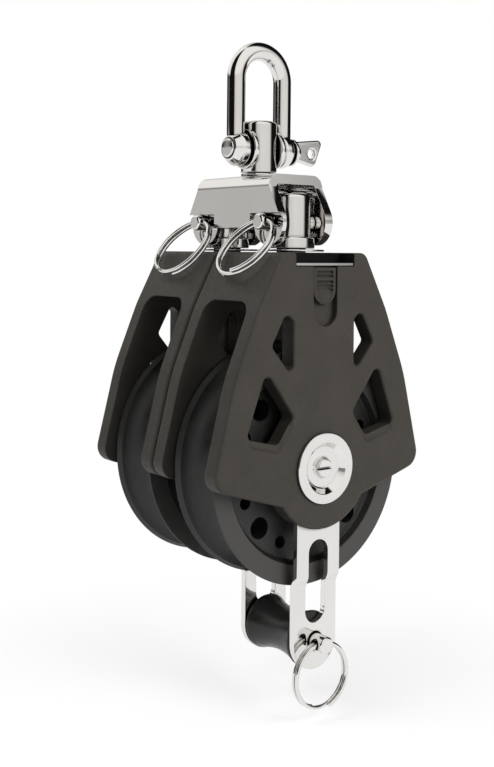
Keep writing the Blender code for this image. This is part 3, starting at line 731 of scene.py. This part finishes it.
def lock_plate(side):
    middle = side * BLOCK_X
    outline = rounded([(-NOTCH_HALF_Y + GAP, 0, 0.3), (NOTCH_HALF_Y - GAP, 0, 0.3),
                       (NOTCH_HALF_Y - GAP, 0.7, 0.3), (-NOTCH_HALF_Y + GAP, 0.7, 0.3)], 3)
    raised = [Vector((p.x, p.y + NOTCH_FLOOR_H + GAP)) for p in outline]
    return plate("X", raised, middle + side * (NOTCH_FROM + GAP), middle + side * (SHELL_HALF - GAP))


def notch_shade_sheet(side):
    """Painted shade: a thin dark sheet on the back and the ends of the notch, where the notch lies in shade.
    """
    wall, back, mouth = 0.15, NOTCH_FROM + 0.05, SHELL_HALF - 0.2
    half = NOTCH_HALF_Y - 0.03
    channel = [(back, -half), (mouth, -half), (mouth, wall - half), (back + wall, wall - half),
               (back + wall, half - wall), (mouth, half - wall), (mouth, half), (back, half)]
    outline = [Vector((side * (BLOCK_X + x), y)) for x, y in channel]
    return plate("Z", outline, NOTCH_FLOOR_H + 0.05, SHELL_TOP_H - 0.15)


# -------------------------------------------------------- sheaves and caps

def sheave(side):
    rim = SHEAVE_R
    half = [(SHEAVE_BORE_R, SHEAVE_HALF - 0.6), (HUB_R, SHEAVE_HALF - 0.6), (HUB_R + 0.4, SHEAVE_HALF - 0.9),
            (HUB_R + 1.0, WEB_HALF + 0.4), (HUB_R + 1.6, WEB_HALF), (RIM_BAND_R - 1.6, WEB_HALF),
            (RIM_BAND_R - 1.0, WEB_HALF + 0.4), (RIM_BAND_R - 0.3, SHEAVE_HALF - 0.35),
            (RIM_BAND_R, SHEAVE_HALF), (rim - 0.4, SHEAVE_HALF), (rim - 0.1, SHEAVE_HALF - 0.12),
            (rim, SHEAVE_HALF - 0.4)]
    groove = [(p.x, p.y) for p in arc((rim + 0.4, 0), GROOVE_R + 0.3, 180 + 80, 180 - 80, 24)]
    profile = [(r, -x) for r, x in half] + groove + [(r, x) for r, x in reversed(half)]
    wheel = turned("X", (side * BLOCK_X, 0, 0), profile, 144, ring=True)
    holes = []
    for index in range(2 * HOLE_PAIRS):
        angle = math.radians(180 / HOLE_PAIRS * index + FIRST_HOLE)
        radius = BIG_HOLE_R if index % 2 == 0 else SMALL_HOLE_R
        centre = (HOLE_RING_R * math.cos(angle), HOLE_RING_R * math.sin(angle))
        holes.append(plate("X", circle(centre, radius, 28), side * (BLOCK_X - SHEAVE_HALF - 1),
                           side * (BLOCK_X + SHEAVE_HALF + 1)))
    return cut(wheel, joined(*holes))


def slotted_cap(side, outward, corners, face):
    """Turned cap, from the block's mid-plane, with a screwdriver slot along Y."""
    middle = side * BLOCK_X
    way = side * outward
    cap = turned("X", (middle, 0, 0), [(p.x, way * p.y) for p in rounded(corners, 4)], 96)
    width, depth = SCREW_SLOT
    ends = sorted((middle + way * (face - depth), middle + way * (face + 1)))
    return cut(cap, box((ends[0], -4, -width / 2), (ends[1], 4, width / 2)))


def outer_cap(side):
    corners = [(0, 8.0, 0), (CAP_SHANK_R, 8.0, 0), (CAP_SHANK_R, POCKET_DEPTH, 0),
               (CAP_PLUG_R, POCKET_DEPTH, 0), (CAP_PLUG_R, SHELL_HALF + GAP, 0), (CAP_R, SHELL_HALF + GAP, 0),
               (CAP_R, CAP_FACE, 0.45), (DISH_R, CAP_FACE, 0.35), (DISH_R - 1.6, DISH_FLOOR, 0.9),
               (CAP_SHANK_R + 0.3, DISH_FLOOR, 0.4), (CAP_SHANK_R, CAP_FACE - 0.3, 0.35),
               (0, CAP_FACE - 0.3, 0)]
    return slotted_cap(side, 1, corners, CAP_FACE - 0.3)


def inner_cap(side):
    face = SHELL_HALF - GAP
    corners = [(0, 8.0, 0), (CAP_SHANK_R, 8.0, 0), (CAP_SHANK_R, POCKET_DEPTH, 0),
               (CAP_PLUG_R, POCKET_DEPTH, 0), (CAP_PLUG_R, face, 0.3), (0, face, 0)]
    return slotted_cap(side, -1, corners, face)


# ------------------------------------------------------------------ becket

def becket_strap(way):
    middle = BLOCK_X + way * STRAP_X
    slot_half, slot_top, slot_low = STRAP_SLOT
    holes = [circle((0, 0), TUBE_R + GAP, 48), circle((0, BECKET_PIN_H), BECKET_PIN_R + GAP, 48),
             strap_outline(slot_half, slot_low + slot_half, slot_top - slot_half)]
    strap = plate("X", strap_outline(STRAP_HALF, BECKET_PIN_H, 0, 40), middle - STRAP_THICK / 2,
                  middle + STRAP_THICK / 2, holes, fillet=0.25)
    start, end = JOGGLE_H
    for step in range(9):
        height = start + (end - start) * step / 8
        bmesh.ops.bisect_plane(strap, geom=strap.verts[:] + strap.edges[:] + strap.faces[:],
                               plane_co=(0, 0, height), plane_no=(0, 0, 1))
    for vert in strap.verts:
        share = min(max((vert.co.z - start) / (end - start), 0), 1)
        vert.co.x -= way * STRAP_JOGGLE * share * share * (3 - 2 * share)
    return strap


def becket_spool():
    end_r, waist_r = SPOOL_R
    bore = BECKET_PIN_R + GAP
    profile = [(bore, SPOOL_HALF)] + [(end_r - 0.7, SPOOL_HALF), (end_r - 0.2, SPOOL_HALF - 0.2)]
    for step in range(25):
        along = 1 - step / 12
        profile.append((waist_r + (end_r - waist_r) * along ** 2, (SPOOL_HALF - 0.7) * along))
    profile += [(end_r - 0.2, 0.2 - SPOOL_HALF), (end_r - 0.7, -SPOOL_HALF), (bore, -SPOOL_HALF)]
    return turned("X", (BLOCK_X, 0, BECKET_PIN_H), profile, ring=True)


def becket_pin():
    inner_face = STRAP_X - STRAP_JOGGLE + STRAP_THICK / 2 + GAP
    corners = [(0, -inner_face - 1.3, 0), (4.4, -inner_face - 1.3, 0.5), (4.4, -inner_face, 0.15),
               (BECKET_PIN_R, -inner_face, 0), (BECKET_PIN_R, BECKET_PIN_END, 0.6), (0, BECKET_PIN_END, 0)]
    pin = turned("X", (BLOCK_X, 0, BECKET_PIN_H), rounded(corners, 4), 48)
    hole = plate("Y", circle((BLOCK_X + BECKET_RING_X, BECKET_PIN_H), RING_HOLE_R, 32), -5, 5)
    return cut(pin, hole)


def split_ring(hole, along, out, radius, hand):
    """Almost two turns of wire that hang from a hole in the direction out."""
    across = along.cross(out) * hand
    centre = hole + out * (radius - 0.2)
    path = []
    for index in range(3, 2 * ROUND - 2):
        turn = index / ROUND
        angle = math.tau * turn
        path.append(centre + radius * (out * math.cos(angle) + along * math.sin(angle))
                    + across * RING_PITCH * (turn - 1))
    return swept(path, RING_WIRE_R, 14)


def head_ring(side):
    lean = math.radians(RING_LEAN)
    hole = Vector((side * BLOCK_X, RING_HOLE_Y, CLEVIS_H))
    out = Vector((0, -math.sin(lean), -math.cos(lean)))
    return split_ring(hole, Vector((1, 0, 0)), out, HEAD_RING_R, side)


def becket_ring():
    hole = Vector((BLOCK_X + BECKET_RING_X, 0, BECKET_PIN_H))
    return split_ring(hole, Vector((0, 1, 0)), Vector((0, 0, -1)), BECKET_RING_R, 1)


# ------------------------------------------------------- bracket and pins

def bracket_side():
    top = Vector((BRACKET_TOP_X, BRACKET_TOP_H))
    corner = Vector((BRACKET_TOP_X, BRACKET_END_H))
    ear = Vector((BLOCK_X, CLEVIS_H))
    offset = corner - ear
    start = math.degrees(math.atan2(offset.y, offset.x) - math.acos(EAR_R / offset.length))
    end = math.degrees(math.asin((BRACKET_LOW_H - CLEVIS_H) / EAR_R))
    return mirrored([top, corner] + arc(ear, EAR_R, start, -180 - end, 40))


def head_bracket():
    outer = BRACKET_HALF_Y
    inner = outer - PLATE
    low = CLEVIS_H - EAR_R - 1
    channel = rounded([(-outer, low, 0), (-outer, BRACKET_TOP_H, BEND_R), (outer, BRACKET_TOP_H, BEND_R),
                       (outer, low, 0), (inner, low, 0), (inner, BRACKET_TOP_H - PLATE, BEND_R - PLATE),
                       (-inner, BRACKET_TOP_H - PLATE, BEND_R - PLATE), (-inner, low, 0)], 12)
    end_x = BLOCK_X + EAR_R + 1
    bracket = combined(plate("X", channel, -end_x, end_x),
                       [plate("Y", bracket_side(), -outer - 1, outer + 1)], "INTERSECT")
    tools = [plate("Z", circle((0, 0), SWIVEL_SHANK_R + GAP), BRACKET_TOP_H - 4, BRACKET_TOP_H + 1)]
    for side in SIDES.values():
        bore = circle((side * BLOCK_X, CLEVIS_H), CLEVIS_R + GAP, 48)
        tools.append(plate("Y", bore, -outer - 1, outer + 1))
        tools.append(box((side * BLOCK_X - EAR_STEP_HALF, -outer - 1, low - 1),
                         (side * BLOCK_X + EAR_STEP_HALF, EAR_STEP - outer, EAR_STEP_TOP_H)))
    return cut(bracket, *tools)


def clevis_pin(side):
    head_y = BRACKET_HALF_Y + GAP
    corners = [(0, -CLEVIS_END_Y, 0), (CLEVIS_R, -CLEVIS_END_Y, 0.7), (CLEVIS_R, head_y, 0),
               (CLEVIS_HEAD_R, head_y, 0.15), (CLEVIS_HEAD_R, head_y + 2.0, 1.0), (0, head_y + 2.0, 0)]
    pin = turned("Y", (side * BLOCK_X, 0, CLEVIS_H), rounded(corners, 6), 48)
    hole = circle((RING_HOLE_Y, CLEVIS_H), RING_HOLE_R, 32)
    return cut(pin, plate("X", hole, side * (BLOCK_X - 5), side * (BLOCK_X + 5)))


def head_post(side):
    low, high = COLLAR_H
    corners = [(0, POST_FOOT_H, 0), (POST_SHANK_R, POST_FOOT_H, 0), (POST_SHANK_R, low, 0),
               (COLLAR_R, low, 0.3), (COLLAR_R, high, 0.5), (POST_R, high, 0.15),
               (POST_R, POST_TOP_H, 1.1), (0, POST_TOP_H, 0)]
    post = turned("Z", (side * BLOCK_X, 0, 0), rounded(corners, 6))
    return cut(post, plate("Y", circle((side * BLOCK_X, CLEVIS_H), CLEVIS_R + GAP, 48), -8, 8))


def hex_nut(corner_r, bore_r, low, high):
    """Hexagon with its corners turned off at both ends."""
    nut = plate("Z", circle((0, 0), corner_r, 6), low, high)
    rim = corner_r + 0.3
    chamfer = turned("Z", (0, 0, 0), [(0, low), (corner_r * 0.9, low), (rim, low + 0.7),
                                      (rim, high - 0.7), (corner_r * 0.9, high), (0, high)])
    nut = combined(nut, [chamfer], "INTERSECT")
    return cut(nut, plate("Z", circle((0, 0), bore_r, 40), low - 1, high + 1))


# ------------------------------------------------------ swivel and shackle

def swivel_post():
    corners = [(0, SWIVEL_SHANK_LOW_H, 0), (SWIVEL_SHANK_R, SWIVEL_SHANK_LOW_H, 0.4),
               (SWIVEL_SHANK_R, SWIVEL_FOOT_H, 0), (SWIVEL_R, SWIVEL_FOOT_H, 0.3),
               (SWIVEL_R, SWIVEL_TOP_H, 1.2), (0, SWIVEL_TOP_H, 0)]
    post = turned("Z", (0, 0, 0), rounded(corners, 6), 96)
    near, far = BOSS_Y
    bosses = []
    for way in (-1, 1):
        profile = rounded([(0, way * near, 0), (BOSS_R, way * near, 0.4), (BOSS_R, way * far, 0.5),
                           (0, way * far, 0)], 4)
        bosses.append(turned("Y", (0, 0, SHACKLE_PIN_H), profile))
    hole = plate("Y", circle((0, SHACKLE_PIN_H), SHACKLE_PIN_R + GAP), -far - 1, far + 1)
    return cut(united(post, *bosses), hole)


def shackle_bow():
    """Bent bar with a rounded eye on each leg."""
    bend_h = CROWN_H + BAR_R - LEG_Y
    bar_end = SHACKLE_PIN_H + EYE_R - 1.4
    path = [Vector((0, -LEG_Y, bar_end)), Vector((0, -LEG_Y, bend_h - 1))]
    path += [Vector((0, point.x, point.y)) for point in arc((0, bend_h), LEG_Y, 180, 0, 48)]
    path += [Vector((0, LEG_Y, bend_h - 1)), Vector((0, LEG_Y, bar_end))]
    pieces = []
    bore = SHACKLE_PIN_R + GAP
    for way in (-1, 1):
        near, far = (way * y for y in EYE_Y)
        profile = rounded([(bore, near, 0.2), (EYE_R, near, 1.3), (EYE_R, far - way * 2.4, 2.0),
                           (EYE_R - 1.7, far, 0.6), (bore, far, 0.15)], 8)
        pieces.append(turned("Y", (0, 0, SHACKLE_PIN_H), profile, ring=True))
    return united(swept(path, BAR_R, 40), *pieces)


def shackle_pin():
    eye = EYE_Y[1]
    collar = eye + GAP
    corners = [(0, -eye - 0.6, 0), (SHACKLE_PIN_R, -eye - 0.6, 0.5), (SHACKLE_PIN_R, collar, 0),
               (4.4, collar, 0.2), (4.4, collar + 1.0, 0.4), (2.7, collar + 2.4, 0.8),
               (2.2, TAB_Y[0] + 2.0, 0.6), (0, TAB_Y[0] + 2.4, 0)]
    pin = turned("Y", (0, 0, SHACKLE_PIN_H), rounded(corners, 4))
    near, far = TAB_Y
    flare = [(near, SHACKLE_PIN_H - 2.4, 1.0), (far - 3.6, SHACKLE_PIN_H - 4.4, 1.6),
             (far, SHACKLE_PIN_H + 5.0, 1.4), (near, SHACKLE_PIN_H + 3.6, 1.0)]
    hole = circle((TAB_HOLE_Y, SHACKLE_PIN_H), 1.5, 32)
    tab = plate("X", rounded(flare, 8), -TAB_THICK / 2, TAB_THICK / 2, [hole], fillet=0.7, steps=6)
    return united(pin, tab)


# ---------------------------------------------------------------- assembly

def show_head(steel):
    show("shackle_bow", shackle_bow(), steel)
    show("shackle_pin", shackle_pin(), steel)
    show("swivel_post", swivel_post(), steel, edge=0.25)
    shank = SWIVEL_SHANK_R + GAP
    under = BRACKET_TOP_H - PLATE - GAP
    washer_low = under - LOWER_WASHER_THICK
    show("swivel_upper_washer",
         tube("Z", (0, 0, 0), (shank, UPPER_WASHER_R), BRACKET_TOP_H + GAP, SWIVEL_FOOT_H - GAP), steel)
    show("swivel_lower_washer", tube("Z", (0, 0, 0), (shank, LOWER_WASHER_R), washer_low, under), steel)
    show("swivel_nut", hex_nut(SWIVEL_NUT_R, shank, SWIVEL_NUT_LOW_H, washer_low - GAP), steel)
    show("head_bracket", head_bracket(), steel, edge=0.35)


def show_block(name, side, nylon, acetal, steel, black):
    middle = (side * BLOCK_X, 0, 0)
    show(name + "_clevis_pin", clevis_pin(side), steel, edge=0.2)
    show(name + "_split_ring", head_ring(side), steel)
    show(name + "_block_shell", block_shell(side), nylon, edge=0.7)
    # Painted shade: a dark sheet lines each notch.
    add_looks(name + "_notch_shade_sheet", name + "_block", notch_shade_sheet(side), black)
    show(name + "_head_post", head_post(side), steel, edge=0.25)
    show(name + "_head_washer",
         tube("Z", middle, (POST_SHANK_R + GAP, WASHER_R), SHELL_TOP_H + GAP, COLLAR_H[0] - GAP), steel)
    show(name + "_lock_plate", lock_plate(side), steel)
    show(name + "_lock_slider", lock_slider(side), nylon, edge=0.15)
    show(name + "_outer_axle_cap", outer_cap(side), steel, edge=0.12)
    show(name + "_inner_axle_cap", inner_cap(side), steel, edge=0.12)
    show(name + "_sheave", sheave(side), acetal, edge=0.3)


def show_becket(steel, plastic):
    show("becket_outer_strap", becket_strap(1), steel)
    show("becket_inner_strap", becket_strap(-1), steel)
    show("becket_pin", becket_pin(), steel, edge=0.2)
    show("becket_spool", becket_spool(), plastic)
    show("becket_split_ring", becket_ring(), steel)


def finish_cad_nodes(finishes):
    """The CAD pieces inside the blocks stay in view, so each node gets its slot's material."""
    for node, obj in frame["nodes"].items():
        obj.data.materials.clear()
        obj.data.materials.append(finishes[SLOTS[node]])


# ---------------------------------------------------- camera, floor, light

CAMERA_TURN = 52.4            # degrees from the front (-Y) towards +X
CAMERA_DISTANCE = 355.0
CAMERA_ASIDE = -3.5
CAMERA_ROLL = 0.56
SENSOR_H = 36.0
LENS = 52.146
SHIFT_DOWN = 0.17158          # share of the picture's height, so that uprights stay parallel
FLOOR_DROP = 4.0
FLOOR_R = 5000.0
FLOOR_FADE = (20.0, 130.0)    # distances over which its shadows fade out
SOFTBOX_SIZE = 350.0
AMBIENT = 0.4                 # light from all round on matt surfaces
FLAG = 0.006                  # brightness of the dark flags

TURN = math.radians(CAMERA_TURN)
RIGHT = Vector((math.cos(TURN), math.sin(TURN), 0))
AHEAD = Vector((-math.sin(TURN), math.cos(TURN), 0))


def make_camera():
    data = bpy.data.cameras.new("camera")
    camera = bpy.data.objects.new("camera", data)
    bpy.context.scene.collection.objects.link(camera)
    data.sensor_fit = "VERTICAL"
    data.sensor_height = SENSOR_H
    data.lens = LENS
    data.shift_y = -SHIFT_DOWN
    data.clip_start = 0.01
    data.clip_end = 50
    roll = math.radians(CAMERA_ROLL)
    up = Vector((0, 0, 1))
    right = RIGHT * math.cos(roll) + up * math.sin(roll)
    above = up * math.cos(roll) - RIGHT * math.sin(roll)
    matrix = Matrix((right, above, -AHEAD)).transposed().to_4x4()
    place = -AHEAD * CAMERA_DISTANCE + RIGHT * CAMERA_ASIDE + Vector((0, 0, SHELL_TOP_H - CROWN_H))
    matrix.translation = place * MM
    camera.matrix_world = matrix
    bpy.context.scene.camera = camera


def make_floor():
    """White studio floor that fades into the backdrop away from the block."""
    mesh = bmesh.new()
    bmesh.ops.create_circle(mesh, cap_ends=True, segments=96, radius=FLOOR_R * MM)
    data = bpy.data.meshes.new("floor")
    mesh.to_mesh(data)
    mesh.free()
    floor = bpy.data.objects.new("floor", data)
    floor.location.z = CAD_BOX[0][2] - FLOOR_DROP * MM
    bpy.context.scene.collection.objects.link(floor)
    finish = Finish("studio_floor", (0.86, 0.86, 0.86), 0.7)
    length = finish.add("ShaderNodeVectorMath", operation="LENGTH")
    finish.link(finish.place, length.inputs[0])
    start, end = (distance * MM for distance in FLOOR_FADE)
    fade = finish.spread(length.outputs["Value"], 0.6, 1.0, start, end)
    glow = finish.add("ShaderNodeEmission")
    rays = finish.add("ShaderNodeLightPath")
    seen = finish.math("ADD", finish.math("MULTIPLY", rays.outputs["Is Camera Ray"], 1.0 - AMBIENT),
                       finish.math("MULTIPLY", rays.outputs["Is Glossy Ray"], 0.96 - AMBIENT))
    finish.link(finish.math("ADD", seen, AMBIENT), glow.inputs["Strength"])
    mix = finish.add("ShaderNodeMixShader")
    finish.link(fade, mix.inputs[0])
    finish.link(finish.shader.outputs["BSDF"], mix.inputs[1])
    finish.link(glow.outputs["Emission"], mix.inputs[2])
    finish.link(mix.outputs["Shader"], finish.tree.nodes["Material Output"].inputs["Surface"])
    data.materials.append(finish.material)


def add_ramp(nodes, bearing, stops):
    """Smooth warm grey ramp over bearings from -180 to 180 degrees."""
    ramp = nodes.add("ShaderNodeValToRGB")
    ramp.color_ramp.interpolation = "EASE"
    elements = ramp.color_ramp.elements
    while len(elements) > 1:
        elements.remove(elements[-1])
    for index, (degrees, grey) in enumerate(stops):
        element = elements[0] if index == 0 else elements.new((degrees + 180) / 360)
        element.position = (degrees + 180) / 360
        element.color = (grey, grey * 0.985, grey * 0.965, 1)
    nodes.link(nodes.spread(bearing, 0.0, 1.0, -math.pi, math.pi), ramp.inputs["Fac"])
    return ramp.outputs["Color"]


def mirrored_studio(nodes):
    """What polished surfaces mirror: pale cards between dark flags, in three tiers."""
    direction = nodes.add("ShaderNodeTexCoord").outputs["Generated"]
    bearing = nodes.math("ARCTAN2", nodes.dot(direction, RIGHT), nodes.dot(direction, -AHEAD))
    height = nodes.dot(direction, (0, 0, 1))
    behind = [(-180, 0.7), (-166, 0.7), (-158, FLAG)]
    softbox = [(-26, FLAG), (-12, 0.74), (20, 0.84), (70, 0.80), (90, FLAG),
               (158, FLAG), (166, 0.7), (180, 0.7)]
    side_card = [(-130, FLAG), (-122, 0.55), (-88, 0.55), (-80, FLAG)]
    side_strip = [(-118, FLAG), (-106, 0.3), (-94, FLAG)]
    low = add_ramp(nodes, bearing, behind + side_card + softbox)
    level = add_ramp(nodes, bearing, behind + side_strip + softbox)
    raised = add_ramp(nodes, bearing, [(-180, 0.6), (-150, 1.0), (-95, 1.0), (-80, FLAG), (-28, FLAG),
                                       (-14, 1.0), (76, 1.0), (92, FLAG), (170, FLAG), (180, 0.6)])
    lower = nodes.blend(nodes.spread(height, 0.0, 1.0, 0.095, 0.11, "SMOOTHSTEP"), low, level)
    return nodes.blend(nodes.spread(height, 0.0, 1.0, 0.18, 0.28, "SMOOTHSTEP"), lower, raised)


def make_world():
    """White surroundings, whose dark flags only polished surfaces mirror."""
    world = bpy.data.worlds.new("studio")
    bpy.context.scene.world = world
    world.use_nodes = True
    nodes = Nodes(world.node_tree)
    nodes.tree.nodes.clear()
    rays = nodes.add("ShaderNodeLightPath")
    ambient = (AMBIENT, AMBIENT, AMBIENT, 1)
    color = nodes.blend(rays.outputs["Is Glossy Ray"], ambient, mirrored_studio(nodes))
    color = nodes.blend(rays.outputs["Is Camera Ray"], color, (1, 1, 1, 1))
    background = nodes.add("ShaderNodeBackground")
    output = nodes.add("ShaderNodeOutputWorld")
    nodes.link(color, background.inputs["Color"])
    nodes.link(background.outputs["Background"], output.inputs["Surface"])


def add_softbox(name, place, power):
    """Square lamp aimed at the sheaves, which polished surfaces don't mirror."""
    data = bpy.data.lights.new(name, "AREA")
    data.size = SOFTBOX_SIZE * MM
    data.energy = power
    light = bpy.data.objects.new(name, data)
    light.location = place * MM
    target = Vector((0, 0, -CROWN_H))
    light.rotation_euler = (place - target).to_track_quat("Z", "Y").to_euler()
    light.visible_glossy = False
    bpy.context.scene.collection.objects.link(light)


def main():
    nylon = moulded_nylon()
    acetal = turned_acetal()
    steel = polished_steel()
    plastic = spool_plastic()
    black = notch_shade_finish()
    finish_cad_nodes({"charcoal_nylon": nylon, "black_acetal": acetal, "polished_steel": steel,
                      "gloss_black": plastic})
    show_head(steel)
    for name, side in SIDES.items():
        show_block(name, side, nylon, acetal, steel, black)
    show_becket(steel, plastic)
    make_camera()
    make_floor()
    make_world()
    add_softbox("side_softbox", Vector((550, 120, 120)), 4.2)
    add_softbox("front_softbox", Vector((-120, -500, 400)), 3.5)
    bpy.context.scene.view_settings.view_transform = "Standard"


main()
